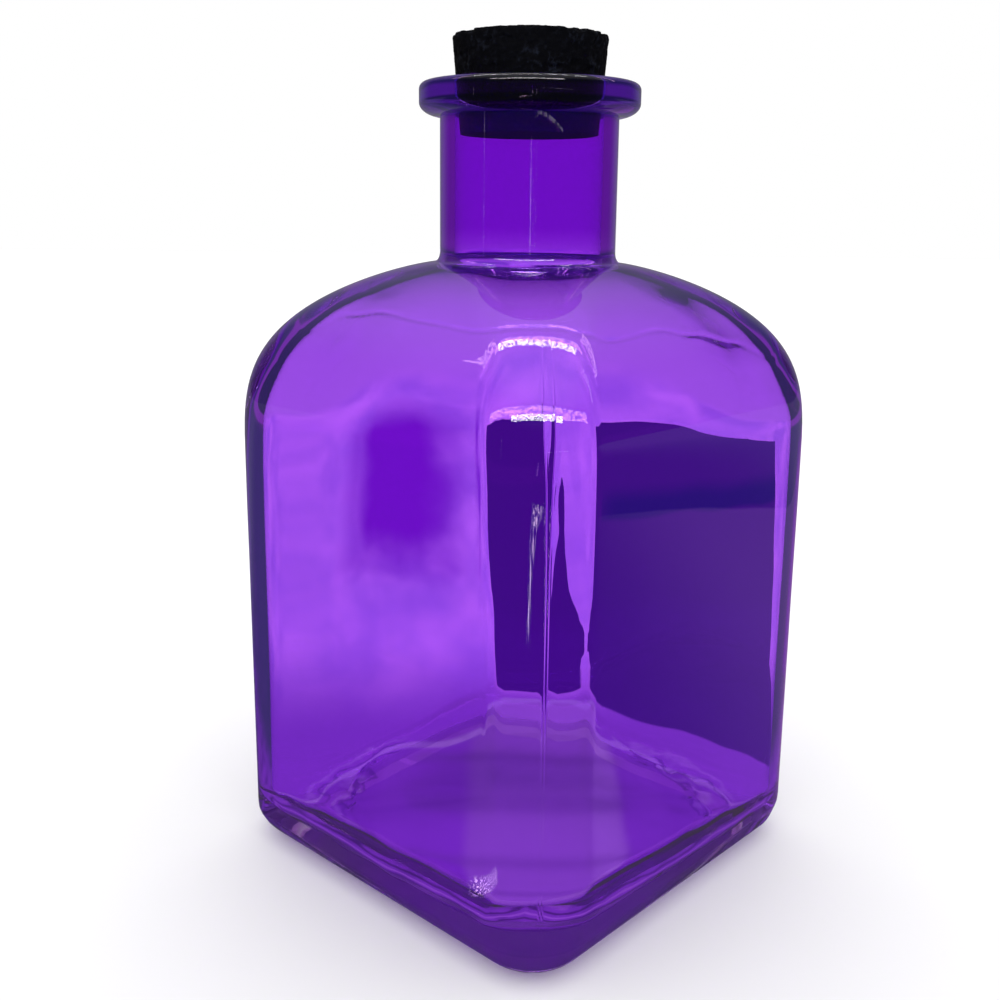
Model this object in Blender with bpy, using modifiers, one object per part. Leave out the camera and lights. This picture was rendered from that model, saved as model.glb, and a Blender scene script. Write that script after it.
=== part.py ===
# Square glass potion bottle with a tapered cork stopper.
# Metres, +Z up. The origin is the middle of the foot, on the table, and the flat sides face X and Y.

from math import cos, pi, radians, sin, sqrt

import bmesh
import bpy

# Body
body_width = 0.0912
body_corner_radius = 0.0128
body_wall = 0.0034
straight_height = 0.0860

# Foot: a flat resting band round a shallow recess, with a rounded heel outside it
heel_radius = 0.0070
resting_band = 0.0045
recess_depth = 0.0030
recess_corner_radius = 0.0060

# Floor inside
floor_thickness = 0.0060
floor_rise = 0.0020
floor_heel_radius = 0.0085

# Shoulder: the powers shape its curve from the straight side to the neck
shoulder_height = 0.0415
shoulder_rise_power = 0.58
shoulder_spread_power = 1.58
shoulder_rounding_power = 2.0

# Neck
neck_radius = 0.0180
neck_wall = 0.00295
neck_height = 0.0287
neck_fillet = 0.0022
neck_fillet_spread = 0.0013

# Lip
lip_radius = 0.0222
lip_height = 0.0065
lip_underside_height = 0.0026
lip_edge_round = 0.0014
mouth_round = 0.0010

# Cork stopper: it wedges in the mouth by its taper
cork_taper = 0.085
cork_standing = 0.0091
cork_inserted = 0.0101
cork_edge = 0.0006
cork_clearance = 0.0003

# Counts that set how fine the meshes are
points_per_corner = 10
heel_steps = 5
shoulder_steps = 15
small_steps = 3
floor_rings = 4
cork_sides = 40

half_width = body_width / 2
bore_radius = neck_radius - neck_wall
shoulder_top = straight_height + shoulder_height
neck_top = shoulder_top + neck_height
lip_top = neck_top + lip_height
seat_height = lip_top - mouth_round


def clear_scene():
    for thing in list(bpy.data.objects):
        bpy.data.objects.remove(thing, do_unlink=True)


def new_collection(name):
    collection = bpy.data.collections.new(name)
    bpy.context.scene.collection.children.link(collection)
    return collection


def new_material(name, colour, roughness, metallic=0.0, transmission=0.0, ior=1.5):
    material = bpy.data.materials.new(name)
    material.use_nodes = True
    shader = material.node_tree.nodes["Principled BSDF"]
    shader.inputs["Base Color"].default_value = (*colour, 1.0)
    shader.inputs["Roughness"].default_value = roughness
    shader.inputs["Metallic"].default_value = metallic
    shader.inputs["Transmission Weight"].default_value = transmission
    shader.inputs["IOR"].default_value = ior
    material.diffuse_color = (*colour, 1.0)
    return material


def reach_of(half, radius):
    """Half of a rounded square's diagonal."""
    return (half - radius) * sqrt(2) + radius


def section(half, radius, height):
    """Points of a rounded square. It is a circle where radius equals half.

    Each corner's arc starts and ends on the flat sides, and draws in by half a step as they vanish.
    """
    points = []
    draw_in = 0.5 * (radius / half) ** 4
    spacing = radians(90) / (points_per_corner - 1 + 2 * draw_in)
    for quarter in range(4):
        middle = radians(45 + 90 * quarter)
        centre_x = (half - radius) * sqrt(2) * cos(middle)
        centre_y = (half - radius) * sqrt(2) * sin(middle)
        for step in range(points_per_corner):
            angle = radians(90) * quarter + spacing * (draw_in + step)
            points.append((centre_x + radius * cos(angle), centre_y + radius * sin(angle), height))
    return points


def quarter_turn(steps):
    """Angles from 0 to a right angle."""
    return [pi / 2 * step / steps for step in range(steps + 1)]


def shoulder_sections(half, radius, end_radius, start, height):
    """From the straight side up to a circle of end_radius: (half width, corner radius, height)."""
    first_reach = reach_of(half, radius)
    sections = []
    for turn in quarter_turn(shoulder_steps):
        reach = end_radius + (first_reach - end_radius) * max(cos(turn), 0.0) ** shoulder_spread_power
        rounding = (1 - cos(turn)) ** shoulder_rounding_power
        corner = radius + (reach - radius) * rounding
        across = (reach - corner) / sqrt(2) + corner
        sections.append((across, corner, start + height * sin(turn) ** shoulder_rise_power))
    return sections


def neck_fillet_sections(radius, start):
    """The hollow curve from the shoulder's end up to the neck, for the outside or the bore."""
    sections = []
    for turn in quarter_turn(small_steps)[1:]:
        across = radius + neck_fillet_spread * (1 - sin(turn))
        sections.append((across, across, start + neck_fillet * (1 - cos(turn))))
    return sections


def foot_sections():
    """Recess, resting band and heel, from the middle of the foot outwards and up to the straight side."""
    band_outer = half_width - heel_radius
    band_inner = band_outer - resting_band
    sections = []
    for ring in range(1, floor_rings + 1):
        share = ring / floor_rings
        across = band_inner * share
        corner = across + (recess_corner_radius - across) * share ** 2
        sections.append((across, corner, recess_depth * (0.5 + 0.5 * cos(pi * share))))
    for turn in quarter_turn(heel_steps):
        inset = heel_radius * (1 - sin(turn))
        corner = max(body_corner_radius - inset, recess_corner_radius)
        sections.append((half_width - inset, corner, heel_radius * (1 - cos(turn))))
    return sections


def lip_sections():
    """Up the neck, round the lip and over its top into the mouth."""
    sections = []
    for turn in quarter_turn(small_steps):
        across = neck_radius + (lip_radius - neck_radius) * sin(turn)
        sections.append((across, across, neck_top + lip_underside_height * (1 - cos(turn))))
    for turn in quarter_turn(small_steps):
        across = lip_radius - lip_edge_round * (1 - cos(turn))
        sections.append((across, across, lip_top - lip_edge_round * (1 - sin(turn))))
    for turn in quarter_turn(small_steps):
        across = bore_radius + mouth_round * (1 - sin(turn))
        sections.append((across, across, lip_top - mouth_round * (1 - cos(turn))))
    return sections


def inside_sections():
    """The cavity, from the floor's edge up to the bore."""
    half = half_width - body_wall
    radius = max(body_corner_radius - body_wall, 0.25 * body_corner_radius)
    sections = []
    for ring in range(1, floor_rings):
        share = ring / floor_rings
        across = (half - floor_heel_radius) * share
        edge_corner = radius * (half - floor_heel_radius) / half
        corner = across + (edge_corner - across) * share ** 2
        sections.append((across, corner, floor_thickness + floor_rise * (0.5 + 0.5 * cos(pi * share))))
    for turn in quarter_turn(heel_steps):
        inset = floor_heel_radius * (1 - sin(turn))
        shrink = (half - inset) / half
        height = floor_thickness + floor_heel_radius * (1 - cos(turn))
        sections.append((half * shrink, radius * shrink, height))
    inside_height = shoulder_height - body_wall
    sections += shoulder_sections(half, radius, bore_radius + neck_fillet_spread, straight_height, inside_height)
    sections += neck_fillet_sections(bore_radius, straight_height + inside_height)
    return sections


def loft(name, sections, low_pole, high_pole, material, collection):
    """Skins the sections in order and closes each end with a fan to its pole."""
    mesh_builder = bmesh.new()
    rings = []
    for half, radius, height in sections:
        rings.append([mesh_builder.verts.new(point) for point in section(half, radius, height)])
    for lower, upper in zip(rings, rings[1:]):
        for index in range(len(lower)):
            after = (index + 1) % len(lower)
            mesh_builder.faces.new((lower[index], lower[after], upper[after], upper[index]))
    for ring, pole in ((rings[0], low_pole), (rings[-1], high_pole)):
        tip = mesh_builder.verts.new((0.0, 0.0, pole))
        for index in range(len(ring)):
            mesh_builder.faces.new((ring[(index + 1) % len(ring)], ring[index], tip))
    bmesh.ops.recalc_face_normals(mesh_builder, faces=mesh_builder.faces)
    return finish_mesh(name, mesh_builder, material, collection)


def finish_mesh(name, mesh_builder, material, collection):
    mesh = bpy.data.meshes.new(name)
    mesh_builder.to_mesh(mesh)
    mesh_builder.free()
    mesh.shade_smooth()
    mesh.set_sharp_from_angle(angle=radians(35))
    mesh.materials.append(material)
    thing = bpy.data.objects.new(name, mesh)
    collection.objects.link(thing)
    return thing


def make_glass_bottle(collection):
    """One moulded piece: foot, sides, shoulder, neck and lip, and the cavity down to its floor."""
    glass = new_material("purple_glass", (0.16, 0.015, 0.60), 0.03, transmission=1.0, ior=1.5)
    outside = foot_sections()
    outside += shoulder_sections(
        half_width, body_corner_radius, neck_radius + neck_fillet_spread, straight_height, shoulder_height
    )
    outside += neck_fillet_sections(neck_radius, shoulder_top)
    outside += lip_sections()
    inside = list(reversed(inside_sections()))
    return loft(
        "glass_bottle", outside + inside, recess_depth, floor_thickness + floor_rise, glass, collection
    )


def cork_radius(height):
    """The cork's radius at a height: it clears the mouth by cork_clearance at the seat."""
    return bore_radius - cork_clearance + (height - seat_height) * cork_taper


def make_cork_stopper(collection):
    """A turned cone frustum with broken edges. Its origin is on the slide axis, at the mouth's rim."""
    cork = new_material("black_cork", (0.004, 0.005, 0.008), 0.85)
    top = lip_top + cork_standing
    bottom = lip_top - cork_inserted
    profile = (
        (0.0, top),
        (cork_radius(top) - cork_edge, top),
        (cork_radius(top - cork_edge), top - cork_edge),
        (cork_radius(seat_height), seat_height),
        (cork_radius(bottom + cork_edge), bottom + cork_edge),
        (cork_radius(bottom) - cork_edge, bottom),
        (0.0, bottom),
    )
    mesh_builder = bmesh.new()
    points = [mesh_builder.verts.new((radius, 0.0, height - lip_top)) for radius, height in profile]
    for start, end in zip(points, points[1:]):
        mesh_builder.edges.new((start, end))
    thing = finish_mesh("cork_stopper", mesh_builder, cork, collection)
    thing.location = (0.0, 0.0, lip_top)
    turning = thing.modifiers.new("turning", "SCREW")
    turning.axis = "Z"
    turning.angle = 2 * pi
    turning.steps = cork_sides
    turning.render_steps = cork_sides
    turning.use_merge_vertices = True
    turning.merge_threshold = 0.00001
    turning.use_smooth_shade = True
    return thing


def main():
    clear_scene()
    parts = new_collection("potion_bottle")
    make_glass_bottle(parts)
    make_cork_stopper(parts)


main()
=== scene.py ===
import math

import bmesh
import bpy
from mathutils import Matrix, Vector, noise


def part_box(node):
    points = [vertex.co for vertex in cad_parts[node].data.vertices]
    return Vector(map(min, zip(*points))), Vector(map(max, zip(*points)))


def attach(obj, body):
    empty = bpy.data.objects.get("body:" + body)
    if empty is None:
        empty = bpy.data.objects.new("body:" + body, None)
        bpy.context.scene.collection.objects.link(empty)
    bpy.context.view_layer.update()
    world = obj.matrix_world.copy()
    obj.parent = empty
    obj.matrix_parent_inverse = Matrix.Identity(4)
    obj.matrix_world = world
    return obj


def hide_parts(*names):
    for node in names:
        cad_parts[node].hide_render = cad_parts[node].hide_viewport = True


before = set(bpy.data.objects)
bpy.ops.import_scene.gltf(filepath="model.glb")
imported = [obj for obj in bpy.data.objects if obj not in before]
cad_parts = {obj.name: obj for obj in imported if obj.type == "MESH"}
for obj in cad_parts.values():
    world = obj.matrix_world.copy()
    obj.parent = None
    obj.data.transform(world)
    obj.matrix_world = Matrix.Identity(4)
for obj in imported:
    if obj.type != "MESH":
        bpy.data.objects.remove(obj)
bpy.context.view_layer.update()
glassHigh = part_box("glass_bottle")[1]
corkLow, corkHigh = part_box("cork_stopper")
print("frame loaded:", sorted(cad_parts))

millimetre = 0.001

# lengths are in millimetres and angles in degrees, counted from the corner that faces the camera
glassForm = {
    "aroundSteps": 208,         # columns round the bottle, without the seam's own
    "cornerCrowding": 0.62,     # how much closer the columns stand at the corners
    "cornerRadius": 12.8,
    "wall": 3.4,
    "innerCornerRadius": 9.4,
    "straightHeight": 86.0,
    "shoulderHeight": 41.5,
    "risePower": 0.58,
    "spreadPower": 1.58,
    "roundingPower": 2.0,
    "heelRadius": 9.0,
    "heelRadiusBehind": 6.0,
    "heelChange": (95, 112),    # where the one becomes the other, to both sides
    "baseSeamHeight": 7.3,      # the line round the foot where the mould's base plate met its sides
    "baseSeamTilt": 0.7,
    "baseSeamDepth": 0.05,
    "baseSeamWidth": 0.30,
    "baseSeamRows": (-3.0, -2.0, -1.3, -0.65, 0.0, 0.65, 1.3, 2.0, 3.0),    # in its widths
    "baseSeamReach": 6.5,       # how far above and below it the foot tilts with it
    "baseSeamEnds": (80, 110),
    "restingBand": 4.5,
    "recessDepth": 3.0,
    "recessCorner": 6.0,
    "floorThickness": 6.0,
    "floorRise": 2.0,
    # the inside heel: angle, how far it reaches in, how high it climbs
    "heel": (
        (-180, 9, 5.5), (-160, 6, 4), (-141, 3.8, 3), (-118, 3.8, 3.2), (-105, 4.5, 3.4),
        (-92, 8, 5), (-78, 10, 8.5), (-64, 9, 11), (-45, 8, 12.5), (-20, 9.5, 13.5),
        (0, 11, 14), (20, 9.5, 13.5), (45, 8, 11.5), (64, 8.5, 9.5), (80, 8.5, 7),
        (94, 7, 4.5), (108, 4.5, 3.4), (123, 3.8, 3.2), (146, 3.8, 3.5), (160, 6, 4.5),
        (180, 9, 5.5),
    ),
    "heelLevel": 20.0,          # the height whose wall the heel joins
    "heelCurveShare": 0.8,      # the rest of its rings stand upright, up to where the straight rings begin
    # a wavy crease in the floor: angle, distance from the axis, height
    "crease": (
        (-180, 38, 0), (-128, 38.8, 0), (-117, 38.8, 0.6), (-107, 37.8, 0.7),
        (-90, 36.4, 0.7), (-67, 36, 0.5), (-50, 36.5, 0.1), (55, 38.5, 0.1), (78, 40, 0.6),
        (94, 38.3, 0.6), (108, 39.5, 0.7), (116, 38.3, 0.7), (123, 35.8, 0.7), (136, 38, 0.7),
        (146, 40.5, 0.6), (156, 42, 0.4), (170, 41, 0), (180, 38, 0),
    ),
    "creaseWave": 0.9,
    "creaseWaveRadius": 38,
    "neckRadius": 18.0,
    "boreRadius": 15.05,
    "neckFillet": 2.2,
    "neckFilletSpread": 1.3,
    "lipRadius": 22.2,
    "lipHeight": 6.5,
    "lipUnderside": 2.6,
    "lipEdge": 1.4,
    "mouthEdge": 1.0,
    # the glass is thicker in the corner that faces the camera: height, the inner curve's radius,
    # and how far the curve reaches to the left and to the right of the corner's middle
    "thickCorner": (
        (55, 14.6, 6.8, 8.4), (70, 15.3, 7, 8.1), (77, 16.3, 7.5, 8.1),
        (87, 16.5, 8, 8.1), (102, 16.4, 8.8, 8.1),
    ),
    "thickCornerEdge": 0.12,
    "thickCornerMargin": 0.045,         # radians past the curve's ends, where the wall is plain again
    "thickCornerRunsOut": (0.4, 0.9),   # as shares of the shoulder's height
    # a wavy ridge inside the shoulder, where the blown glass met the mould: angle, height
    "shoulderLine": (
        (-180, 113.5), (-110, 112), (-83, 111.6), (-74, 115.3), (-58, 116.7), (-33, 116.1),
        (-16, 115.6), (-5, 116.3), (4, 116.3), (10, 115.5), (17, 114.2), (39, 114.9),
        (57, 113.3), (74, 110.8), (85, 107.3), (110, 109), (180, 113.5),
    ),
    "shoulderLineHeight": 0.15,
    "shoulderLineWidth": 0.36,
    "shoulderLineTurns": (0.30, 0.88, 62),  # its rows stand closer: from and to in radians, steps
    "shoulderLineCalm": (92, 16, 0.75),     # it fades at the side corners: angle, spread, share
    # the glass is thicker towards the two side corners too: height, how far the inner wall draws in
    # at the left and the right
    "sideCorner": (
        (10, 0.5, 0), (40, 1, 0), (84, 1.1, 0), (95, 1.5, 0), (106, 3.2, 2.6),
        (112, 3.4, 3.2), (119, 2.2, 2.2), (125, 0.3, 0.3),
    ),
    "sideCornerSpread": 25.0,
    "rippleOutside": 0.03,      # how far the drawn glass wanders
    "rippleOutsideSpan": (7, 16, 112, 127),     # heights: starts, is full, starts to end, ends
    "rippleInside": 0.10,
    "rippleInsideSpan": (6, 20, 118, 132),
    "rippleHeel": 0.30,
    "fleckDepth": 0.006,        # a faint rough streak beside the front corner
    "fleckMiddle": -2.2,
    "fleckWidth": 1.4,
    "fleckSpan": (30, 60, 95, 105),
    "seamTurn": 0.75,           # the mould's seam stands off the corner's middle
    "seamSpan": (3, 8, 155, 156),
    "seamClear": 1.35,          # nearer than this the seam has its own columns
    # its two lines: height, angle from the seam's middle, half width, how far they stand up
    "seamLines": (
        (78, 0.27, 0.10, 0.060), (92, 0.46, 0.12, 0.070), (104, 0.95, 0.13, 0.050),
        (126, 0.95, 0.13, 0.020), (132, 0.75, 0.18, 0.010),
    ),
    "seamShares": (-2.4, -1.6, -0.8, 0.0, 0.8, 1.6, 2.4),   # its columns, in half widths from each line
}

# rows of points in each stretch, from the foot up outside, and then inside
glassRows = {
    "recess": 16, "heel": 14, "side": 34, "shoulder": 48, "fillet": 8, "neck": 12,
    "lipUnderside": 10, "lipEdge": 7, "mouthEdge": 6,
    "insideHeel": 28, "insideSide": 30, "insideShoulder": 44, "bore": 14,
}


def quarterTurn(steps):
    return [math.pi / 2 * step / steps for step in range(steps + 1)]


def reachOf(half, corner):
    return (half - corner) * math.sqrt(2) + corner


def outlineReach(angle, half, corner):
    # distance from the axis to a rounded square's outline, in the direction of the angle
    folded = abs((angle + math.pi / 4) % (math.pi / 2) - math.pi / 4)
    flat = half - corner
    if half * math.tan(folded) <= flat:
        return half / math.cos(folded)
    along = flat * (math.cos(folded) + math.sin(folded))
    return along + math.sqrt(max(along * along - 2 * flat * flat + corner * corner, 0.0))


def smoothStep(low, high, value):
    share = min(max((value - low) / (high - low), 0.0), 1.0)
    return share * share * (3 - 2 * share)


def onlyWithin(span, value):
    return smoothStep(*span[:2], value) * (1 - smoothStep(*span[2:], value))


def bell(offset, width):
    return math.exp(-(offset / width) ** 2)


def fromFrontCorner(angle):
    # degrees from the corner that faces the camera to the angle, to the right of it
    return (math.degrees(angle) + 45 + 180) % 360 - 180


def between(rows, value):
    # the row of values at the given place, smoothly between the table's rows
    if value <= rows[0][0]:
        return rows[0][1:]
    for lower, upper in zip(rows, rows[1:]):
        if value < upper[0]:
            share = smoothStep(lower[0], upper[0], value)
            return [a + (b - a) * share for a, b in zip(lower[1:], upper[1:])]
    return rows[-1][1:]


def cornerThickening(angle, half, corner, height):
    # how far the inner wall draws in at the thick corner
    away = math.radians(fromFrontCorner(angle))
    radius, left, right = between(glassForm["thickCorner"], height)
    diagonal = half * math.sqrt(2)
    reached = left if away < 0 else right
    if abs(away) > math.atan2(reached, diagonal - reached) + glassForm["thickCornerMargin"]:
        return 0.0
    flat = half / math.cos(math.pi / 4 - abs(away))
    chord = Vector((left + right, left - right))
    middle = Vector((right - left, 2 * diagonal - left - right)) / 2
    normal = Vector((-chord.y, chord.x)).normalized()
    centre = middle - normal * math.sqrt(radius ** 2 - chord.length_squared / 4)
    along = centre.x * math.sin(away) + centre.y * math.cos(away)
    curve = along + math.sqrt(max(along * along - centre.length_squared + radius * radius, 0.0))
    edge = glassForm["thickCornerEdge"]
    overlap = max(edge - abs(flat - curve), 0.0) / edge
    return min(flat, curve) - overlap * overlap * edge / 4 - outlineReach(angle, half, corner)


def sideThickening(angle, height):
    # how far the inner wall draws in at the corners to the left and the right
    away = fromFrontCorner(angle)
    left, right = between(glassForm["sideCorner"], height)
    amount = left if away < 0 else right
    return -amount * bell(abs(away) - 90, glassForm["sideCornerSpread"])


def shoulderRings(kind, half, corner, endRadius, start, height, turns):
    form = glassForm
    firstReach = reachOf(half, corner)
    rings = []
    for turn in turns:
        spread = max(math.cos(turn), 0.0) ** form["spreadPower"]
        reach = endRadius + (firstReach - endRadius) * spread
        rounding = (1 - math.cos(turn)) ** form["roundingPower"]
        ringCorner = corner + (reach - corner) * rounding
        ringHalf = (reach - ringCorner) / math.sqrt(2) + ringCorner
        rings.append((kind, ringHalf, ringCorner, start + height * math.sin(turn) ** form["risePower"]))
    return rings


def filletRings(radius, start):
    form = glassForm
    rings = []
    for turn in quarterTurn(glassRows["fillet"])[1:]:
        across = radius + form["neckFilletSpread"] * (1 - math.sin(turn))
        rings.append(("round", across, across, start + form["neckFillet"] * (1 - math.cos(turn))))
    return rings


def straightRings(kind, half, corner, low, high, steps):
    return [(kind, half, corner, low + (high - low) * step / steps) for step in range(1, steps)]


def outsideRings(half):
    form = glassForm
    bandOuter = half - form["heelRadius"]
    bandInner = bandOuter - form["restingBand"]
    rings = []
    for step in range(1, glassRows["recess"] + 1):
        share = step / glassRows["recess"]
        across = bandInner * share
        corner = across + (form["recessCorner"] - across) * share ** 2
        rings.append(("foot", across, corner, form["recessDepth"] * (0.5 + 0.5 * math.cos(math.pi * share))))
    radius = form["heelRadius"]
    turns = quarterTurn(glassRows["heel"])[:10]    # below the base seam's own rows
    for offset in form["baseSeamRows"]:
        height = form["baseSeamHeight"] + offset * form["baseSeamWidth"]
        turns.append(math.acos(1 - height / radius))
    for turn in turns + [math.pi / 2]:
        inset = radius * (1 - math.sin(turn))
        corner = max(form["cornerRadius"] - inset, form["recessCorner"])
        rings.append(("foot", half - inset, corner, radius * (1 - math.cos(turn))))
    corner, neck = form["cornerRadius"], form["neckRadius"]
    start, rise = form["straightHeight"], form["shoulderHeight"]
    rings += straightRings("side", half, corner, radius, start, glassRows["side"])
    turns = quarterTurn(glassRows["shoulder"])
    rings += shoulderRings("side", half, corner, neck + form["neckFilletSpread"], start, rise, turns)
    rings += filletRings(neck, start + rise)
    lipTop = glassHigh.z / millimetre
    lipFoot = lipTop - form["lipHeight"]
    rings += straightRings("round", neck, neck, start + rise + form["neckFillet"], lipFoot, glassRows["neck"])
    for turn in quarterTurn(glassRows["lipUnderside"]):
        across = neck + (form["lipRadius"] - neck) * math.sin(turn)
        rings.append(("round", across, across, lipFoot + form["lipUnderside"] * (1 - math.cos(turn))))
    for turn in quarterTurn(glassRows["lipEdge"]):
        across = form["lipRadius"] - form["lipEdge"] * (1 - math.cos(turn))
        rings.append(("round", across, across, lipTop - form["lipEdge"] * (1 - math.sin(turn))))
    for turn in quarterTurn(glassRows["mouthEdge"]):
        across = form["boreRadius"] + form["mouthEdge"] * (1 - math.sin(turn))
        rings.append(("round", across, across, lipTop - form["mouthEdge"] * (1 - math.cos(turn))))
    return rings


def insideRings(half):
    form = glassForm
    inner = half - form["wall"]
    corner = form["innerCornerRadius"]
    shares = [step / 10 for step in range(1, 7)] + [0.7 + 0.022 * step for step in range(14)]
    rings = [("floor", inner, corner, share) for share in shares]
    rings += [("heel", inner, corner, turn) for turn in quarterTurn(glassRows["insideHeel"])]
    low = form["floorThickness"] + max(row[2] for row in form["heel"])
    start, rise, bore = form["straightHeight"], form["shoulderHeight"] - form["wall"], form["boreRadius"]
    rings += straightRings("wall", inner, corner, low, start, glassRows["insideSide"])
    first, last, steps = form["shoulderLineTurns"]
    turns = [turn for turn in quarterTurn(glassRows["insideShoulder"]) if not first < turn < last]
    turns += [first + (last - first) * step / steps for step in range(steps + 1)]
    rings += shoulderRings("wall", inner, corner, bore + form["neckFilletSpread"], start, rise, sorted(turns))
    rings += filletRings(bore, start + rise)
    top = glassHigh.z / millimetre - form["mouthEdge"]
    rings += straightRings("round", bore, bore, start + rise + form["neckFillet"], top, glassRows["bore"])
    return rings


def ringPoint(ring, angle):
    # reach and height of a ring's point in the direction of the angle
    form = glassForm
    kind, half, corner, place = ring
    outer = glassHigh.x / millimetre
    if kind == "foot" and place > 0 and half > outer - form["heelRadius"] - form["restingBand"]:
        # the heel is rounder towards the camera
        full = form["heelRadius"]
        behind = smoothStep(*form["heelChange"], abs(fromFrontCorner(angle)))
        scale = (full + (form["heelRadiusBehind"] - full) * behind) / full
        half = outer - (outer - half) * scale
        corner = max(form["cornerRadius"] - (outer - half), form["recessCorner"])
        height = place * scale + full * (1 - scale) * (place / full) ** 6
        return outlineReach(angle, half, corner), height
    if kind in ("foot", "side", "round"):
        return outlineReach(angle, half, corner), place
    inner = outer - form["wall"]
    cornerInside = form["innerCornerRadius"]
    if kind == "wall":
        rise = max(place - form["straightHeight"], 0) / form["shoulderHeight"]
        drawn = cornerThickening(angle, inner, cornerInside, place)
        drawn *= 1 - smoothStep(*form["thickCornerRunsOut"], rise)
        return outlineReach(angle, half, corner) + drawn + sideThickening(angle, place), place
    inset, tall = between(form["heel"], fromFrontCorner(angle))
    level = form["heelLevel"]
    wall = outlineReach(angle, inner, cornerInside)
    wall += cornerThickening(angle, inner, cornerInside, level) + sideThickening(angle, level)
    edge = wall - inset / math.cos(math.radians(abs((math.degrees(angle) + 45) % 90 - 45)))
    if kind == "floor":
        rise = form["floorRise"] * (0.5 + 0.5 * math.cos(math.pi * place))
        return edge * place, form["floorThickness"] + rise
    share = form["heelCurveShare"]
    turn = min(place / share, math.pi / 2)
    upright = max(place / (math.pi / 2) - share, 0) / (1 - share)
    lift = tall * (1 - math.cos(turn)) + (max(row[2] for row in form["heel"]) - tall) * upright
    return edge + (wall - edge) * math.sin(turn), form["floorThickness"] + lift


def columnPlaces():
    # where the columns stand: closer at the corners; the seam's own columns follow its two lines
    form = glassForm
    places = []
    for step in range(form["aroundSteps"]):
        angle = 2 * math.pi * step / form["aroundSteps"]
        places.append((math.degrees(angle + form["cornerCrowding"] * math.sin(4 * angle) / 4) % 360, 0, 0.0))
    for seam in (135 + form["seamTurn"], 315 + form["seamTurn"]):
        places = [place for place in places if abs(place[0] - seam) > form["seamClear"]]
        places.append((seam, 0, 0.0))
        places += [(seam, side, share) for side in (-1, 1) for share in form["seamShares"]]
    return sorted(places, key=lambda place: place[0] + place[1] * (0.7 + 0.15 * place[2]))


def columnAngle(place, height):
    angle, side, share = place
    middle, width = between(glassForm["seamLines"], height)[:2]
    return math.radians(angle + side * (middle + share * width))


def wander(point, size, seed):
    # a slow noise between about -1 and 1
    place = Vector(point) / size + Vector((seed, 2 * seed, 3 * seed))
    return noise.noise(place) + 0.5 * noise.noise(place * 2.1)


def unevenGlass(kind, angle, reach, height):
    # drawn glass is never quite even: the inside wanders more than the moulded outside
    form = glassForm
    point = Vector((reach * math.cos(angle), reach * math.sin(angle), height))
    away = fromFrontCorner(angle)
    if kind in ("wall", "heel", "floor"):
        reach += form["rippleInside"] * wander(point, 24, 3) * onlyWithin(form["rippleInsideSpan"], height)
        if kind == "wall" and height > 100:
            line = between(form["shoulderLine"], away)[0]
            middle, spread, share = form["shoulderLineCalm"]
            calm = 1 - share * bell(abs(away) - middle, spread)
            reach -= form["shoulderLineHeight"] * bell(height - line, form["shoulderLineWidth"]) * calm
        if kind != "wall":
            nearEdge = smoothStep(22, 34, reach) * (1 - smoothStep(12, 18, height))
            height += form["rippleHeel"] * wander(point, 9, 5) * nearEdge
            radius, tall = between(form["crease"], away)
            circle = Vector((math.cos(angle), math.sin(angle), 0)) * form["creaseWaveRadius"]
            beyond = reach - radius - form["creaseWave"] * wander(circle, 4.5, 7)
            height += tall * (bell(beyond, 0.8) - 0.8 * bell(beyond - 1.7, 0.9))
        return reach, height
    if kind == "foot" and height > 1:
        level = form["baseSeamHeight"]
        tilt = form["baseSeamTilt"] * math.sin(math.radians(away)) * smoothStep(3, 6, height)
        height += tilt * (1 - abs(height - level) / form["baseSeamReach"])
        near = 1 - smoothStep(*form["baseSeamEnds"], abs(away))
        reach += form["baseSeamDepth"] * near * bell(height - level - tilt, form["baseSeamWidth"])
    if kind == "side":
        steady = onlyWithin(form["rippleOutsideSpan"], height)
        reach -= form["rippleOutside"] * max(0.8 + wander(point, 22, 1), 0.0) * steady
        streak = bell(away - form["fleckMiddle"], form["fleckWidth"]) * onlyWithin(form["fleckSpan"], height)
        reach += form["fleckDepth"] * noise.noise(Vector((away * 1.1, 0.0, height * 0.16))) * streak
    offSeam = min(abs(away - form["seamTurn"]), abs((away - form["seamTurn"]) % 360 - 180))
    middle, width, tall = between(form["seamLines"], height)
    return reach + tall * bell(offSeam - middle, width) * onlyWithin(form["seamSpan"], height), height


sharpAngle = 40     # degrees: an edge that turns more than this looks sharp


def spinRound(bm, profile, steps):
    # the profile's points, joined up and spun round the axis into a closed skin
    edges = [bm.edges.new(pair) for pair in zip(profile, profile[1:])]
    bmesh.ops.spin(
        bm, geom=profile + edges, cent=(0, 0, 0), axis=(0, 0, 1), dvec=(0, 0, 0), angle=2 * math.pi,
        steps=steps, use_merge=True, use_duplicate=False,
    )
    bmesh.ops.remove_doubles(bm, verts=bm.verts, dist=0.0005)


def addObject(name, bm, material):
    mesh = bpy.data.meshes.new(name)
    bm.to_mesh(mesh)
    bm.free()
    mesh.materials.append(material)
    thing = bpy.data.objects.new(name, mesh)
    bpy.context.scene.collection.objects.link(thing)
    return thing


def makePiece(name, bm, material):
    bmesh.ops.scale(bm, vec=(millimetre, millimetre, millimetre), verts=bm.verts)
    piece = addObject(name, bm, material)
    piece.data.shade_smooth()
    piece.data.set_sharp_from_angle(angle=math.radians(sharpAngle))
    return piece


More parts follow.
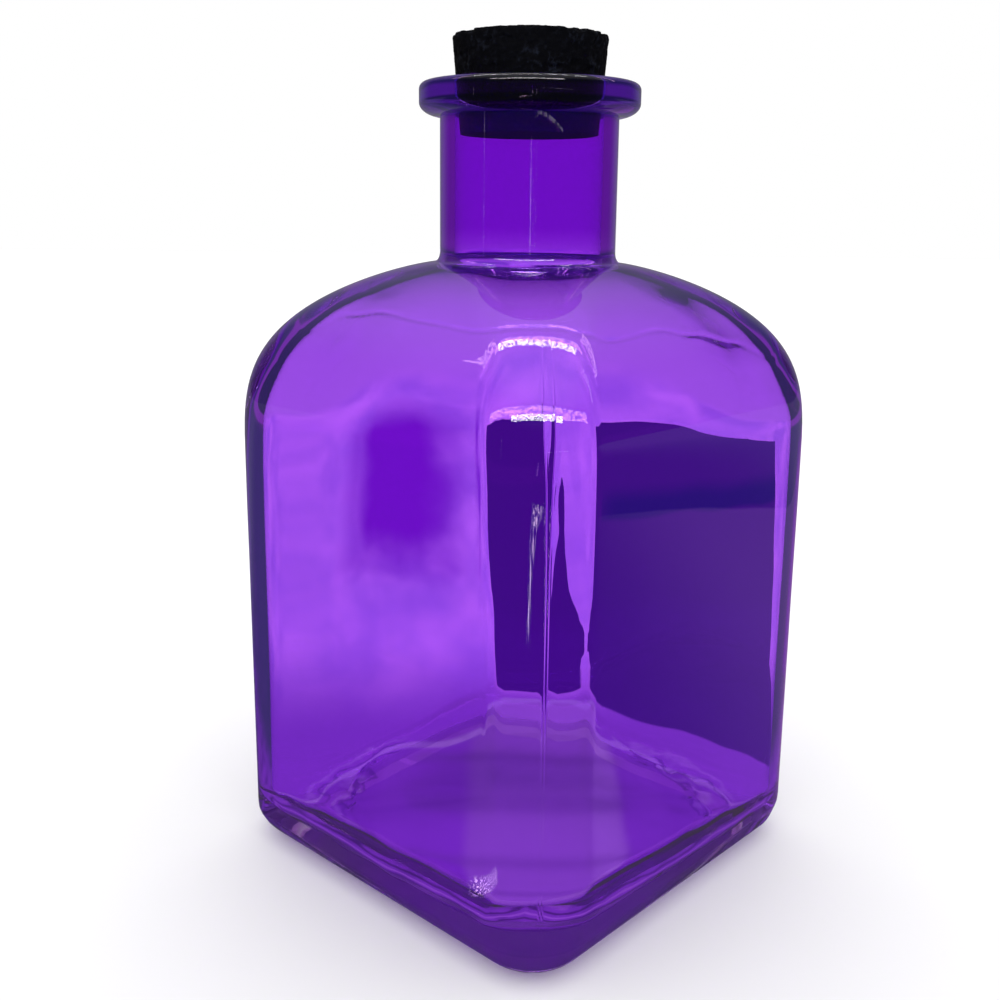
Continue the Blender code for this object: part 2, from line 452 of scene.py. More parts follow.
def buildBottle(material):
    form = glassForm
    half = glassHigh.x / millimetre
    rings = outsideRings(half) + list(reversed(insideRings(half)))
    places = columnPlaces()
    bm = bmesh.new()
    ringLayer = bm.verts.layers.int.new("ring")
    profile = [bm.verts.new((0.0, 0.0, -1000.0))]
    for index in range(len(rings)):
        profile.append(bm.verts.new((10.0, 0.0, float(index))))
    profile.append(bm.verts.new((0.0, 0.0, 1000.0)))
    for index, vert in enumerate(profile):
        vert[ringLayer] = index - 1
    spinRound(bm, profile, len(places))
    for vert in bm.verts:
        index = vert[ringLayer]
        if index < 0:
            vert.co = (0, 0, form["recessDepth"])
            continue
        if index == len(rings):
            vert.co = (0, 0, form["floorThickness"] + form["floorRise"])
            continue
        turned = math.atan2(vert.co.y, vert.co.x) % (2 * math.pi)
        place = places[round(turned / (2 * math.pi) * len(places)) % len(places)]
        kind, level = rings[index][0], rings[index][3]
        angle = columnAngle(place, level if kind in ("side", "round", "wall") else 0.0)
        reach, height = ringPoint(rings[index], angle)
        reach, height = unevenGlass(kind, angle, reach, height)
        vert.co = (reach * math.cos(angle), reach * math.sin(angle), height)
    bmesh.ops.recalc_face_normals(bm, faces=bm.faces)
    print("bottle skinned:", len(bm.verts), "points")
    bottle = makePiece("bottleGlass", bm, material)
    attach(bottle, "bottle")
    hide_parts("glass_bottle")


corkForm = {
    "sides": 288,
    "rows": 96,
    "taper": 0.085,
    "mouthClearance": 0.3,
    "rimRound": 0.9,            # the top rim is worn and crumbles
    "chipDepth": 0.55,
    "chipSize": 2.6,
    "grain": 0.13,
    "grainSize": 0.9,
    "pitDepth": 0.28,
    "pitSize": 2.4,
    "smallPitSize": 0.9,
    "deepest": 2.4,
}


def roughCork(point, axis, rim):
    # grains, pits and a crumbled rim: the surface only ever moves inwards
    form = corkForm
    grain = 0.5 + 0.5 * noise.noise(point / form["grainSize"]) + 0.4 * noise.noise(point * 2.3)
    pits = smoothStep(0.16, 0.42, noise.noise(point / form["pitSize"] + Vector((7, 0, 0))))
    small = smoothStep(0.25, 0.5, noise.noise(point / form["smallPitSize"] + Vector((0, 5, 0))))
    chips = smoothStep(0.0, 0.6, noise.noise(point / form["chipSize"] + Vector((0, 0, 11))))
    inward = form["grain"] * max(grain, 0) + form["pitDepth"] * pits + 0.35 * form["pitDepth"] * small
    inward += (0.25 + form["chipDepth"] * chips) * rim ** 2
    return point - axis * min(inward, form["deepest"])


def buildCork(material):
    form = corkForm
    bore = glassForm["boreRadius"] - form["mouthClearance"]
    seat = glassHigh.z / millimetre - glassForm["mouthEdge"]
    low = corkLow.z / millimetre
    high = corkHigh.z / millimetre
    bm = bmesh.new()
    rows = form["rows"]
    points = [bm.verts.new((0, 0, high))]
    for step in range(1, 28):
        points.append(bm.verts.new(((bore + (high - seat) * form["taper"]) * step / 28, 0, high)))
    for step in range(rows + 1):
        height = high + (low - high) * step / rows
        points.append(bm.verts.new((bore + (height - seat) * form["taper"], 0, height)))
    for step in range(13, 0, -1):
        points.append(bm.verts.new(((bore + (low - seat) * form["taper"]) * step / 14, 0, low)))
    points.append(bm.verts.new((0, 0, low)))
    spinRound(bm, points, form["sides"])
    bmesh.ops.recalc_face_normals(bm, faces=bm.faces)
    for vert in bm.verts:
        around = Vector((vert.co.x, vert.co.y, 0))
        widest = bore + (vert.co.z - seat) * form["taper"]
        beside = max(1 - (widest - around.length) / form["rimRound"], 0)
        above = max(1 - (high - vert.co.z) / form["rimRound"], 0)
        if around.length > 0.01:
            outward = around.normalized() * beside + Vector((0, 0, 1)) * above
            if outward.length > 0.01:
                vert.co = roughCork(vert.co.copy(), outward.normalized(), min(above, beside))
    print("cork shaped:", len(bm.verts), "points")
    cork = makePiece("corkStopper", bm, material)
    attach(cork, "stopper")
    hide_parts("cork_stopper")


def newMaterial(name):
    material = bpy.data.materials.new(name)
    material.use_nodes = True
    return material, material.node_tree


def feed(tree, socket, value):
    # the value is another node's output, a colour or a number
    if isinstance(value, bpy.types.NodeSocket):
        tree.links.new(value, socket)
    elif isinstance(value, tuple):
        socket.default_value = (*value, 1)
    else:
        socket.default_value = value


def addNode(tree, kind, inputs, output, **settings):
    # a new node with its settings and what feeds it; gives one of its outputs
    node = tree.nodes.new("ShaderNode" + kind)
    for name, setting in settings.items():
        setattr(node, name, setting)
    for socket, value in inputs.items():
        feed(tree, node.inputs[socket], value)
    return node.outputs[output]


def mathNode(tree, operation, *values):
    return addNode(tree, "Math", dict(enumerate(values)), "Value", operation=operation)


def product(tree, value, *factors):
    for factor in factors:
        value = mathNode(tree, "MULTIPLY", value, factor)
    return value


def fade(tree, value, low, high, ends=(0.0, 1.0), course="SMOOTHSTEP"):
    # a step of the value between two places, soft unless its course is linear
    inputs = {"Value": value, "From Min": low, "From Max": high, "To Min": ends[0], "To Max": ends[1]}
    return addNode(tree, "MapRange", inputs, "Result", interpolation_type=course)


def fadeOut(tree, value, low, high):
    return fade(tree, value, low, high, (1.0, 0.0))


def blendColour(tree, share, first, second):
    return addNode(tree, "Mix", {"Factor": share, "A": first, "B": second}, "Result", data_type="RGBA")


def axesOf(tree, vector):
    node = tree.nodes.new("ShaderNodeSeparateXYZ")
    tree.links.new(vector, node.inputs["Vector"])
    return [node.outputs[axis] for axis in "XYZ"]


def turnRound(tree, vector, degrees):
    # the vector turned about the upright axis
    inputs = {"Vector": vector, "Angle": math.radians(degrees)}
    return addNode(tree, "VectorRotate", inputs, "Vector", rotation_type="Z_AXIS")


def noisePattern(tree, vector, scale, detail, roughness=0.5):
    inputs = {"Vector": vector, "Scale": scale, "Detail": detail, "Roughness": roughness}
    return addNode(tree, "TexNoise", inputs, "Fac")


def objectPlace(tree):
    return addNode(tree, "TexCoord", {}, "Object")


def lightPath(tree):
    return tree.nodes.new("ShaderNodeLightPath").outputs


glassFinish = {
    "refraction": 1.5,
    "bodyColour": (0.55, 0.26, 0.856),
    "neckColour": (0.356, 0.046, 0.68),     # the neck's glass is deeper in colour
    "neckStarts": (0.1225, 0.1345),         # heights in metres
    "lipColour": (0.18, 0.06, 0.52),
    "lipStarts": (0.1545, 0.1585),
    "dullUpTo": (0.0034, 0.0040),           # the underside is dulled by its mould and by wear
    "dullWithin": (0.0398, 0.0412),
    "dullRoughness": 0.38,
}


def purpleGlass():
    finish = glassFinish
    material, tree = newMaterial("purpleGlass")
    shader = tree.nodes["Principled BSDF"]
    shader.inputs["IOR"].default_value = finish["refraction"]
    shader.inputs["Transmission Weight"].default_value = 1.0
    place = objectPlace(tree)
    height = axesOf(tree, place)[2]
    folded = addNode(tree, "VectorMath", {0: place}, "Vector", operation="ABSOLUTE")
    sideways, away = axesOf(tree, folded)[:2]
    beneath = fadeOut(tree, mathNode(tree, "MAXIMUM", sideways, away), *finish["dullWithin"])
    low = fade(tree, height, *finish["dullUpTo"], (finish["dullRoughness"], 0.0))
    tree.links.new(product(tree, beneath, low), shader.inputs["Roughness"])
    neck = fade(tree, height, *finish["neckStarts"], course="LINEAR")
    colour = blendColour(tree, neck, finish["bodyColour"], finish["neckColour"])
    colour = blendColour(tree, fade(tree, height, *finish["lipStarts"]), colour, finish["lipColour"])
    tree.links.new(colour, shader.inputs["Base Color"])
    return material


corkFinish = {
    "dye": (0.0006, 0.0008, 0.0028),
    "dust": (0.0095, 0.0125, 0.023),
    "roughness": 0.8,
    "shine": 0.06,
    "grainScale": 900.0,
    "patchScale": 190.0,
    "grainBump": 0.0003,
    "paintedGlassReflection": (0.022, 0.012, 0.11),    # painted reflection: behind the neck's glass the cork takes on the glass's blue
    "neckEnds": (0.1560, 0.1590),
}


def blackCork():
    finish = corkFinish
    material, tree = newMaterial("blackCork")
    shader = tree.nodes["Principled BSDF"]
    shader.inputs["Roughness"].default_value = finish["roughness"]
    shader.inputs["Specular IOR Level"].default_value = finish["shine"]
    place = objectPlace(tree)
    grains = noisePattern(tree, place, finish["grainScale"], 4.0, 0.65)
    patches = noisePattern(tree, place, finish["patchScale"], 2.0)
    dusty = product(tree, fade(tree, grains, 0.48, 0.72), fade(tree, patches, 0.42, 0.70, (0.15, 1.0)))
    dye = blendColour(tree, dusty, finish["dye"], finish["dust"])
    inNeck = fadeOut(tree, axesOf(tree, place)[2], *finish["neckEnds"])
    # a painted blue reflection of the glass on the cork's foot, for rays through the glass only
    behindGlass = product(tree, lightPath(tree)["Is Transmission Ray"], inNeck)
    dyeAndPaintedReflection = blendColour(tree, behindGlass, dye, finish["paintedGlassReflection"])
    tree.links.new(dyeAndPaintedReflection, shader.inputs["Base Color"])
    bump = {"Strength": 0.6, "Distance": finish["grainBump"], "Height": grains}
    tree.links.new(addNode(tree, "Bump", bump, "Normal"), shader.inputs["Normal"])
    return material


photoCamera = {
    "photoSize": 1000,
    "focalPixels": 1154.55,     # in the photograph's frame of 1000 pixels
    "axisRow": 459.76,          # the row that the lens looks straight at
    "sensorWidth": 36.0,
    "azimuth": 43.04,           # degrees round the bottle, from its -Y side towards +X
    "pitch": 12.487,
    "roll": 0.597,
    "distance": 241.64,
    "aside": -5.223,
    "height": 139.15,
}


def placeCamera():
    view = photoCamera
    data = bpy.data.cameras.new("photoCamera")
    camera = bpy.data.objects.new("photoCamera", data)
    bpy.context.scene.collection.objects.link(camera)
    data.sensor_width = view["sensorWidth"]
    data.lens = view["focalPixels"] / view["photoSize"] * view["sensorWidth"]
    data.shift_y = view["axisRow"] / view["photoSize"] - 0.5
    data.clip_start = 0.01
    data.clip_end = 50.0
    azimuth = math.radians(view["azimuth"])
    pitch = math.radians(view["pitch"])
    back = Vector((math.sin(azimuth), -math.cos(azimuth), 0))
    right = Vector((math.cos(azimuth), math.sin(azimuth), 0))
    place = (back * view["distance"] + right * view["aside"]) * millimetre
    place.z = view["height"] * millimetre
    look = -back * math.cos(pitch) - Vector((0, 0, 1)) * math.sin(pitch)
    turned = Matrix((right, right.cross(look), -look)).transposed().to_4x4()
    roll = Matrix.Rotation(math.radians(view["roll"]), 4, "Z")
    camera.matrix_world = Matrix.Translation(place) @ turned @ roll
    bpy.context.scene.camera = camera
    print("camera placed")


studio = {
    "lightWall": (1.30, 1.30, 1.30),    # what the glass shows behind it
    "backdrop": (1.0, 1.0, 1.0),
    "sheen": 0.05,                      # what the fronts of the glass mirror
    "backSheen": 0.20,
    "edgeShade": (0.045, 0.055, 0.115), # what rays see that have run along inside the wall
    "rimShade": (0.30, 0.10, 0.45),     # and those that leave it level with the camera
    "heelShade": (0.30, 0.09, 0.58),    # what rays see that have run along inside the heel
    "heelDark": (0.10, 0.03, 0.24),
    "floorLight": 1.5,
    "floorHalf": 3.0,
    "bounces": 48,
    "inWall": 0.5,                      # past so many glossy bounces a ray runs along inside the wall
    "inHeel": 2.5,                      # and past so many along inside the heel
}


def bouncesPast(tree, path, count):
    return mathNode(tree, "GREATER_THAN", path["Glossy Depth"], count)


def heelStreaks(tree, pattern, low, high):
    return blendColour(tree, fade(tree, pattern, low, high), studio["heelDark"], studio["heelShade"])


def shadeWorld():
    world = bpy.data.worlds.new("studioWorld")
    bpy.context.scene.world = world
    world.use_nodes = True
    tree = world.node_tree
    facing = turnRound(tree, addNode(tree, "TexCoord", {}, "Generated"), -photoCamera["azimuth"])
    along, upward = axesOf(tree, facing)[1:]
    path = lightPath(tree)
    heel = heelStreaks(tree, noisePattern(tree, facing, 6.0, 2.0), 0.42, 0.60)
    shaded = blendColour(tree, fade(tree, upward, 0.55, 0.65), studio["edgeShade"], heel)
    level = fadeOut(tree, mathNode(tree, "ABSOLUTE", upward), 0.060, 0.100)
    shaded = blendColour(tree, level, shaded, studio["rimShade"])
    seen = blendColour(tree, bouncesPast(tree, path, studio["inWall"]), studio["lightWall"], shaded)
    seen = blendColour(tree, bouncesPast(tree, path, studio["inHeel"]), seen, heel)
    behind = fade(tree, along, 0.55, 0.85, (studio["sheen"], studio["backSheen"]))
    above = fade(tree, upward, 0.35, 0.95, (0.0, 0.6))
    mirrored = mathNode(tree, "ADD", behind, above)
    colour = blendColour(tree, path["Is Transmission Ray"], mirrored, seen)
    colour = blendColour(tree, path["Is Diffuse Ray"], colour, (studio["floorLight"],) * 3)
    colour = blendColour(tree, path["Is Camera Ray"], colour, studio["backdrop"])
    tree.links.new(colour, tree.nodes["Background"].inputs["Color"])


# the foot's outline on the table as the glass shows it: its place on a soft step from 60 mm at the left
# to 60 mm at the right, and how many millimetres it lies behind the axis
footOutline = (
    (-60, 0), (-57, 0), (-54.8, 10.5), (-51.7, 18.2), (-47.9, 25), (-43, 30.5), (-38, 32),
    (-28, 31.7), (-22.8, 32.6), (-17, 36), (-12.2, 41), (-10, 48), (-8, 55), (0, 57.5),
    (10, 58.3), (16, 61.5), (20, 61.5), (23.2, 55), (24.4, 44), (28, 40.4), (31.5, 36.2),
    (37, 34.5), (42, 31), (46.5, 24.6), (51.3, 18.4), (56.2, 8.2), (57, 0), (60, 0),
)
footOutlineHalf = 60.0
footOutlineDepth = 80.0

# the table's places are in metres to the right of the bottle's axis and away from the camera;
# a box is its left, right, near and far side, and a line starts, peaks and ends
table = {
    "colour": (0.82, 0.82, 0.82),
    # seen through the left wall, as slopes from the lens: sideways and down
    "darkPatchColour": (0.58, 0.01, 0.92),
    "darkPatchEdge": (-0.163, -0.032, 0.175, 0.329),
    "darkPatchMiddle": (-0.148, -0.041, 0.160, 0.316),
    "darkPatchEdgeShare": 0.55,
    "cloudScale": 13.0,
    "cloudDrift": 0.05,
    "cloudColours": ((1.08, 1.02, 1.30), (1.72, 1.72, 1.55)),
    "horizon": (0.040, 0.125),
    # under the foot: a painted shadow, and its bright outline of painted light
    "shadowColour": (0.66, 0.34, 0.86),
    "shadowEnds": (0.045, 0.120),
    "belowColour": (0.66, 0.28, 0.90),
    "belowPatches": (
        ((-0.032, 0.032, -0.021, 0.060), 0.0025, (0.72, 0.36, 0.95)),
        ((-0.0105, 0.0215, -0.060, 0.070), 0.002, (0.86, 0.80, 0.92)),
        ((0.0135, 0.0215, -0.030, 0.070), 0.002, (1.05, 1.20, 1.05)),
    ),
    "stripes": ((-0.038, -0.034), (-0.022, -0.018), (0.001, 0.007), (0.022, 0.027)),
    "stripeHalf": 0.024,
    "stripeColour": (0.46, 0.36, 0.56),
    "outlineColour": (0.98, 1.12, 1.04),
    # curved lines beside the foot, by their distance from a ring
    "swirlScale": 75.0,
    "ringRadius": 0.0405,
    "ringDrift": 0.020,
    "ringLines": (
        (-0.0012, -0.0004, 0.0004, (0.22, 0.08, 0.40)), (0.0004, 0.0012, 0.0030, (0.95, 0.95, 1.05)),
        (0.0045, 0.0052, 0.0060, (0.28, 0.12, 0.46)), (0.0068, 0.0080, 0.0094, (0.90, 0.85, 1.0)),
    ),
    # lines that run round the foot, where the heel's curve ends, by their distance from the axis
    "heelDrift": 0.006,
    "heelLines": (
        (0.0360, 0.0368, 0.0376, (0.05, 0.02, 0.12)), (0.0382, 0.0392, 0.0402, (0.55, 0.26, 0.80)),
        (0.0408, 0.0418, 0.0428, (0.05, 0.02, 0.12)), (0.0434, 0.0442, 0.0450, (0.42, 0.18, 0.66)),
    ),
    "edgeColour": (0.070, 0.090, 0.170),
    # the dark board's foot
    "boardFoot": (0.0085, 0.092, 0.010, 0.0925),
    "boardSlant": 0.79,
    "boardStarts": (0.0835, 0.0855),
    # what the fronts of the glass mirror
    "nearRight": (0.060, 0.345, -0.5, 0.5),
    "nearColours": ((0.05, 0.05, 0.05), (0.38, 0.20, 0.47)),
    "sparkle": (-0.0405, -0.0345, -0.074, -0.055),
    "sparkleScale": 1300.0,
    "sparkleColour": (11.0, 7.5, 11.0),
    "strands": (-0.5, 0.5, -0.465, -0.225),
    "strandsMeet": 0.059,
    "strandColour": (14.0, 10.5, 13.5),
}


def softBox(tree, across, along, box, softness):
    # 1 inside the box, fading out over the softness
    sides = []
    for value, low, high in ((across, *box[:2]), (along, *box[2:])):
        sides.append(fade(tree, value, low - softness, low + softness))
        sides.append(fadeOut(tree, value, high - softness, high + softness))
    return product(tree, *sides)


def paintLines(tree, colour, value, lines, share):
    for low, peak, high, lineColour in lines:
        line = product(tree, fade(tree, value, low, peak), fadeOut(tree, value, peak, high), share)
        colour = blendColour(tree, line, colour, lineColour)
    return colour


def drift(tree, pattern, amount):
    # a pattern's way to both sides of its middle
    return product(tree, mathNode(tree, "SUBTRACT", pattern, 0.5), amount)


def farStudio(tree, across, along):
    # behind the left wall: a dark patch in the light, and clouds of light
    depth = mathNode(tree, "ADD", along, photoCamera["distance"] * millimetre)
    besideLens = mathNode(tree, "SUBTRACT", across, photoCamera["aside"] * millimetre)
    sideways = mathNode(tree, "DIVIDE", besideLens, depth)
    down = mathNode(tree, "DIVIDE", photoCamera["height"] * millimetre, depth)
    slopes = addNode(tree, "CombineXYZ", {"X": sideways, "Y": down}, "Vector")
    clouds = noisePattern(tree, slopes, table["cloudScale"], 3.0)
    wavy = drift(tree, clouds, table["cloudDrift"])
    spot = [mathNode(tree, "ADD", value, wavy) for value in (sideways, down)]
    edge = product(tree, softBox(tree, *spot, table["darkPatchEdge"], 0.014), table["darkPatchEdgeShare"])
    darkPatch = mathNode(tree, "MAXIMUM", edge, softBox(tree, *spot, table["darkPatchMiddle"], 0.030))
    pale = blendColour(tree, fade(tree, clouds, 0.30, 0.70), *table["cloudColours"])
    pale = blendColour(tree, fadeOut(tree, down, *table["horizon"]), pale, studio["lightWall"])
    return blendColour(tree, darkPatch, pale, table["darkPatchColour"])


def behindFoot(tree, across, along):
    # how far a place lies behind the foot's outline
    width, depth = 2 * footOutlineHalf, footOutlineDepth
    ends = [footOutlineHalf * millimetre * side for side in (-1, 1)]
    node = tree.nodes.new("ShaderNodeFloatCurve")
    curve = node.mapping.curves[0]
    for row in footOutline[1:-1]:
        curve.points.new(row[0] / width + 0.5, row[1] / depth)
    for point, row in zip((curve.points[0], curve.points[-1]), (footOutline[0], footOutline[-1])):
        point.location = (row[0] / width + 0.5, row[1] / depth)
    node.mapping.update()
    tree.links.new(fade(tree, across, *ends), node.inputs["Value"])
    return mathNode(tree, "SUBTRACT", along, product(tree, node.outputs["Value"], depth * millimetre))


def underFoot(tree, across, along):
    colour = table["belowColour"]
    for box, softness, patchColour in table["belowPatches"]:
        colour = blendColour(tree, softBox(tree, across, along, box, softness), colour, patchColour)
    for low, high in table["stripes"]:
        box = (-table["stripeHalf"], table["stripeHalf"], low, high)
        stripe = product(tree, softBox(tree, across, along, box, 0.0025), 0.45)
        colour = blendColour(tree, stripe, colour, table["stripeColour"])
    return colour


def tableBehindGlass(tree, across, along, length, swirls):
    # what rays see that went straight through the bottle
    seen = farStudio(tree, across, along)
    seen = blendColour(tree, fadeOut(tree, along, *table["shadowEnds"]), seen, table["shadowColour"])
    beyond = behindFoot(tree, across, along)
    within = fadeOut(tree, beyond, -0.0018, -0.0004)
    seen = blendColour(tree, within, seen, underFoot(tree, across, along))
    line = product(tree, fade(tree, beyond, -0.0030, -0.0008), fadeOut(tree, beyond, 0.0008, 0.0034))
    seen = blendColour(tree, line, seen, table["outlineColour"])
    offRing = mathNode(tree, "SUBTRACT", length, table["ringRadius"])
    offRing = mathNode(tree, "SUBTRACT", offRing, drift(tree, swirls, table["ringDrift"]))
    beside = fade(tree, mathNode(tree, "ABSOLUTE", across), 0.026, 0.031)
    beside = product(tree, beside, fade(tree, along, -0.024, -0.012), 0.7)
    seen = paintLines(tree, seen, offRing, table["ringLines"], beside)
    board = softBox(tree, across, along, table["boardFoot"], 0.0006)
    slant = mathNode(tree, "ADD", along, product(tree, across, table["boardSlant"]))
    board = product(tree, board, fade(tree, slant, *table["boardStarts"]))
    return blendColour(tree, board, seen, darkBoard["colour"])


def tableAlongWall(tree, place, length, swirls):
    # what rays see that have run along inside the wall
    square = turnRound(tree, place, photoCamera["azimuth"])
    folded = addNode(tree, "VectorMath", {0: square}, "Vector", operation="ABSOLUTE")
    offAxis = mathNode(tree, "MAXIMUM", *axesOf(tree, folded)[:2])
    offAxis = mathNode(tree, "ADD", offAxis, drift(tree, swirls, table["heelDrift"]))
    heel = blendColour(tree, 0.55, studio["heelShade"], heelStreaks(tree, swirls, 0.36, 0.56))
    heel = paintLines(tree, heel, offAxis, table["heelLines"], 0.75)
    edge = blendColour(tree, fade(tree, length, 0.07, 0.11), heel, table["edgeColour"])
    return blendColour(tree, fade(tree, length, 0.9, 2.4), edge, studio["rimShade"])


def mirroredTable(tree, place, across, along):
    behind = fade(tree, along, 0.06, 0.20, (studio["sheen"], studio["backSheen"]))
    nearColour = blendColour(tree, fade(tree, along, -0.035, 0.045), *table["nearColours"])
    mirrored = blendColour(tree, softBox(tree, across, along, table["nearRight"], 0.003), behind, nearColour)
    flecks = fade(tree, noisePattern(tree, place, table["sparkleScale"], 1.0), 0.50, 0.62)
    sparkle = product(tree, softBox(tree, across, along, table["sparkle"], 0.0015), flecks)
    mirrored = blendColour(tree, sparkle, mirrored, table["sparkleColour"])
    # small lights far in front, which the bottle's front corner draws out into strands
    bearing = mathNode(tree, "DIVIDE", across, mathNode(tree, "ADD", along, table["strandsMeet"]))
    spread = {"X": product(tree, bearing, 34.0), "Y": product(tree, along, 26.0)}
    fan = addNode(tree, "CombineXYZ", spread, "Vector")
    strands = fade(tree, noisePattern(tree, fan, 1.0, 2.0), 0.47, 0.66)
    middle = fade(tree, along, -0.45, -0.24, (0.09, 0.26))
    offMiddle = mathNode(tree, "ABSOLUTE", mathNode(tree, "SUBTRACT", bearing, middle))
    within = mathNode(tree, "SUBTRACT", fade(tree, along, -0.42, -0.28, (0.13, 0.07)), offMiddle)
    stretch = softBox(tree, across, along, table["strands"], 0.012)
    track = product(tree, fade(tree, within, 0.0, 0.06), stretch, strands)
    return blendColour(tree, track, mirrored, table["strandColour"])


def paleFloor():
    material, tree = newMaterial("paleFloor")
    plain = tree.nodes["Principled BSDF"]
    plain.inputs["Base Color"].default_value = (*table["colour"], 1)
    plain.inputs["Roughness"].default_value = 0.9
    plain.inputs["Specular IOR Level"].default_value = 0.0
    place = objectPlace(tree)
    across, along = axesOf(tree, place)[:2]
    length = addNode(tree, "VectorMath", {0: place}, "Value", operation="LENGTH")
    swirls = noisePattern(tree, place, table["swirlScale"], 3.0)
    path = lightPath(tree)
    seen = tableBehindGlass(tree, across, along, length, swirls)
    inWall = bouncesPast(tree, path, studio["inWall"])
    seen = blendColour(tree, inWall, seen, tableAlongWall(tree, place, length, swirls))
    inHeel = bouncesPast(tree, path, studio["inHeel"])
    seen = blendColour(tree, inHeel, seen, heelStreaks(tree, swirls, 0.42, 0.56))
    mirrored = mirroredTable(tree, place, across, along)
    colour = blendColour(tree, path["Is Transmission Ray"], mirrored, seen)
    # rays from the glass see the table glow with this painted light and shade
    glow = addNode(tree, "Emission", {"Color": colour}, "Emission")
    inGlass = mathNode(tree, "MAXIMUM", path["Is Glossy Ray"], path["Is Transmission Ray"])
    mixed = addNode(tree, "MixShader", {0: inGlass, 1: plain.outputs["BSDF"], 2: glow}, "Shader")
    tree.links.new(mixed, tree.nodes["Material Output"].inputs["Surface"])
    return material


def brokenLight():
    # the light cards' pattern: their light comes through slats and leaves
    group = bpy.data.node_groups.new("brokenLight", "ShaderNodeTree")
    group.interface.new_socket("Mask", in_out="OUTPUT", socket_type="NodeSocketFloat")
    speckles = noisePattern(group, objectPlace(group), 46.0, 2.0)
    mask = fade(group, speckles, 0.40, 0.58, (0.12, 1.0))
    output = group.nodes.new("NodeGroupOutput")
    group.links.new(mask, output.inputs["Mask"])
    return group


def stageCard(name, strength, centre=(0, 0, 0), size=(1, 1), tilt=0.0, pieces=1):
    # a flat card that only the glass sees; it stands upright, or lies flat at a tilt of 90 degrees
    bm = bmesh.new()
    bmesh.ops.create_grid(bm, x_segments=pieces, y_segments=pieces, size=0.5)
    bmesh.ops.scale(bm, vec=(*size, 1), verts=bm.verts)
    upright = Matrix.Rotation(math.radians(90 - tilt), 3, "X")
    bmesh.ops.rotate(bm, cent=(0, 0, 0), matrix=upright, verts=bm.verts)
    bmesh.ops.translate(bm, vec=centre, verts=bm.verts)
    material, tree = newMaterial(name)
    tree.nodes.remove(tree.nodes["Principled BSDF"])
    glow = tree.nodes.new("ShaderNodeEmission")
    glow.inputs["Strength"].default_value = strength
    tree.links.new(glow.outputs["Emission"], tree.nodes["Material Output"].inputs["Surface"])
    card = addObject(name, bm, material)
    card.rotation_euler = (0, 0, math.radians(photoCamera["azimuth"]))
    card.visible_camera = False
    card.visible_diffuse = False
    card.visible_shadow = False
    return card, tree, glow.inputs["Color"]


darkBoard = {
    "colour": (0.17, 0.004, 0.345),
    "bandColour": (0.062, 0.003, 0.270),
    "distance": 0.090,
    "bottom": 0.0005,
    "top": 0.0805,
    "topFalls": 0.0073,         # towards the right
    "topFallsLeft": 0.0027,     # at its left end
    # where its left edge stands: height, how far to the right, in millimetres
    "leftEdge": (
        (0, 8.8), (6, 7.5), (12, 7.3), (18, 8), (25, 8.7), (37, 8.9), (46, 9),
        (58, 8.8), (63, 8.9), (70, 9.2),
    ),
    "rightEdge": 0.081,         # where it has the height of the next value
    "rightEdgeHeight": 0.073,
    "rightEdgeLean": 0.13,
    "bandLean": 0.115,
    "pieces": 12,
}


def standBoard():
    # the dark board behind the bottle: its top falls and its right edge leans outwards
    board = darkBoard
    card, tree, glow = stageCard("darkPanel", 1.0, pieces=board["pieces"])
    for vert in card.data.vertices:
        share = vert.co.x + 0.5
        level = vert.co.z + 0.5
        top = board["top"] - board["topFalls"] * smoothStep(0.33, 0.98, share)
        top -= board["topFallsLeft"] * (1 - smoothStep(0.05, 0.15, share))
        vert.co.z = board["bottom"] + (top - board["bottom"]) * level
        right = board["rightEdge"] + (board["rightEdgeHeight"] - vert.co.z) * board["rightEdgeLean"]
        left = between(board["leftEdge"], vert.co.z / millimetre)[0] * millimetre
        vert.co.x = left + (right - left) * share
        vert.co.y = board["distance"]
    # a darker band rises across it
    across, height = axesOf(tree, objectPlace(tree))[::2]
    level = mathNode(tree, "SUBTRACT", height, product(tree, across, board["bandLean"]))
    band = product(tree, fade(tree, level, 0.0440, 0.0460), fadeOut(tree, level, 0.0490, 0.0560))
    band = product(tree, band, fade(tree, across, 0.018, 0.030))
    tree.links.new(blendColour(tree, band, board["colour"], board["bandColour"]), glow)


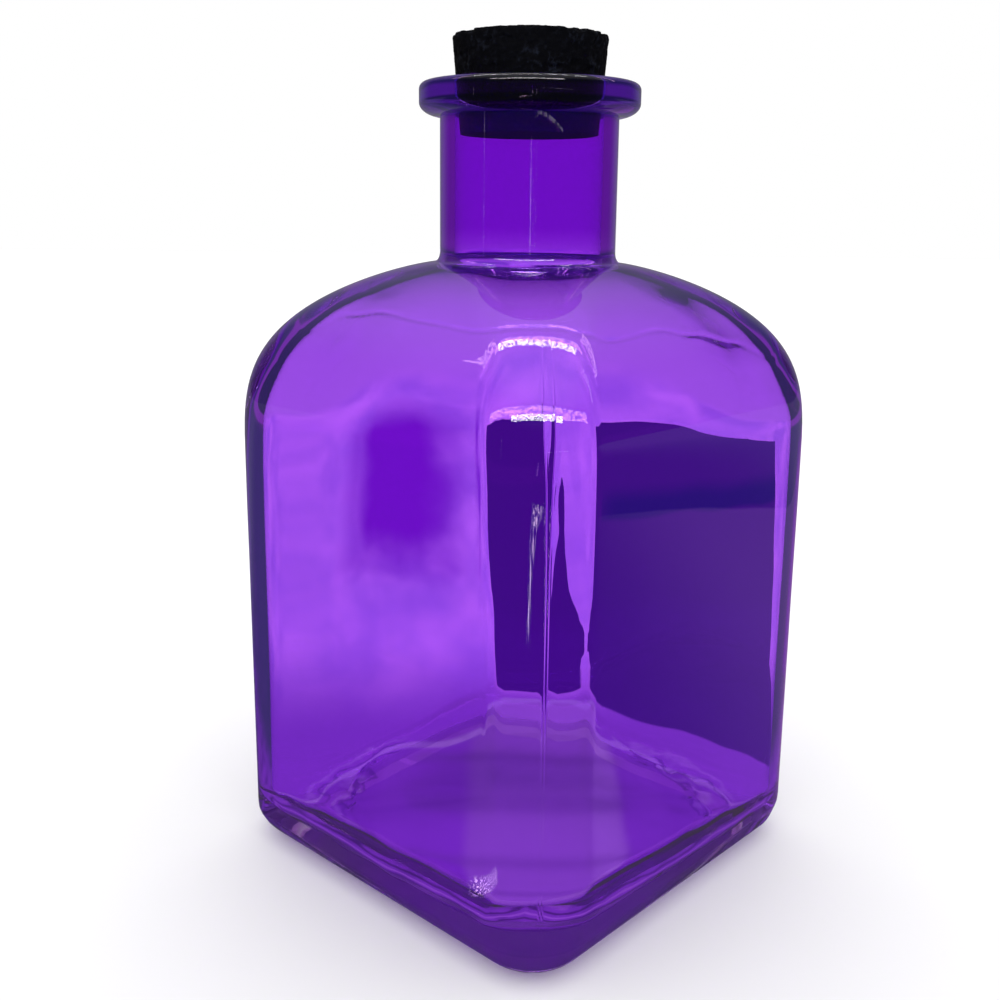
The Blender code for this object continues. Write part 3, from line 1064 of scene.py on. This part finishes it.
# name, colour, strength, centre, size, and degrees that it leans back: at 90 it lies flat
lightCards = (
    ("overheadBar", (1, 1, 1), 18.0, (-0.005, 0.0355, 0.61), (0.59, 0.045), 90.0),
    ("overheadLeft", (1, 0.62, 0.86), 6.0, (-0.50, 0.070, 0.61), (0.40, 0.060), 90.0),
    ("overheadRight", (1, 0.62, 0.86), 5.0, (0.60, 0.150, 0.61), (0.62, 0.060), 90.0),
    ("sideLight", (1, 0.80, 0.95), 2.2, (0.93, -0.052, 0.61), (0.95, 0.050), 90.0),
    ("frontBar", (1, 1, 1), 24.0, (-0.085, -0.558, 0.45), (0.93, 0.08), 0.0),
    ("neckGlint", (1, 0.9, 1), 2.4, (0.47, -0.88, 0.222), (0.62, 0.004), 0.0),
    ("neckSeamLeft", (1, 0.82, 1), 6.0, (0.028, -1.0, 0.150), (0.009, 0.11), 0.0),
    ("neckSeamRight", (1, 0.82, 1), 5.0, (0.095, -1.0, 0.150), (0.009, 0.11), 0.0),
    ("neckLine", (1, 0.8, 1), 2.2, (-0.857, -0.515, 0.155), (0.020, 0.17), 0.0),
)


def hangCards():
    group = brokenLight()
    for name, colour, strength, centre, size, tilt in lightCards:
        tree, glow = stageCard(name, strength, centre, size, tilt)[1:]
        pattern = tree.nodes.new("ShaderNodeGroup")
        pattern.node_tree = group
        tree.links.new(blendColour(tree, pattern.outputs["Mask"], (0, 0, 0), colour), glow)


def layFloor():
    bm = bmesh.new()
    bmesh.ops.create_grid(bm, x_segments=1, y_segments=1, size=studio["floorHalf"])
    floor = addObject("studioFloor", bm, paleFloor())
    floor.rotation_euler = (0, 0, math.radians(photoCamera["azimuth"]))


def lightStudio():
    scene = bpy.context.scene
    scene.view_settings.view_transform = "Standard"
    scene.cycles.max_bounces = studio["bounces"]
    scene.cycles.glossy_bounces = studio["bounces"]
    scene.cycles.transmission_bounces = studio["bounces"]
    shadeWorld()
    layFloor()
    standBoard()
    hangCards()
    print("studio lit:", len(lightCards), "cards")


buildBottle(purpleGlass())
buildCork(blackCork())
placeCamera()
lightStudio()
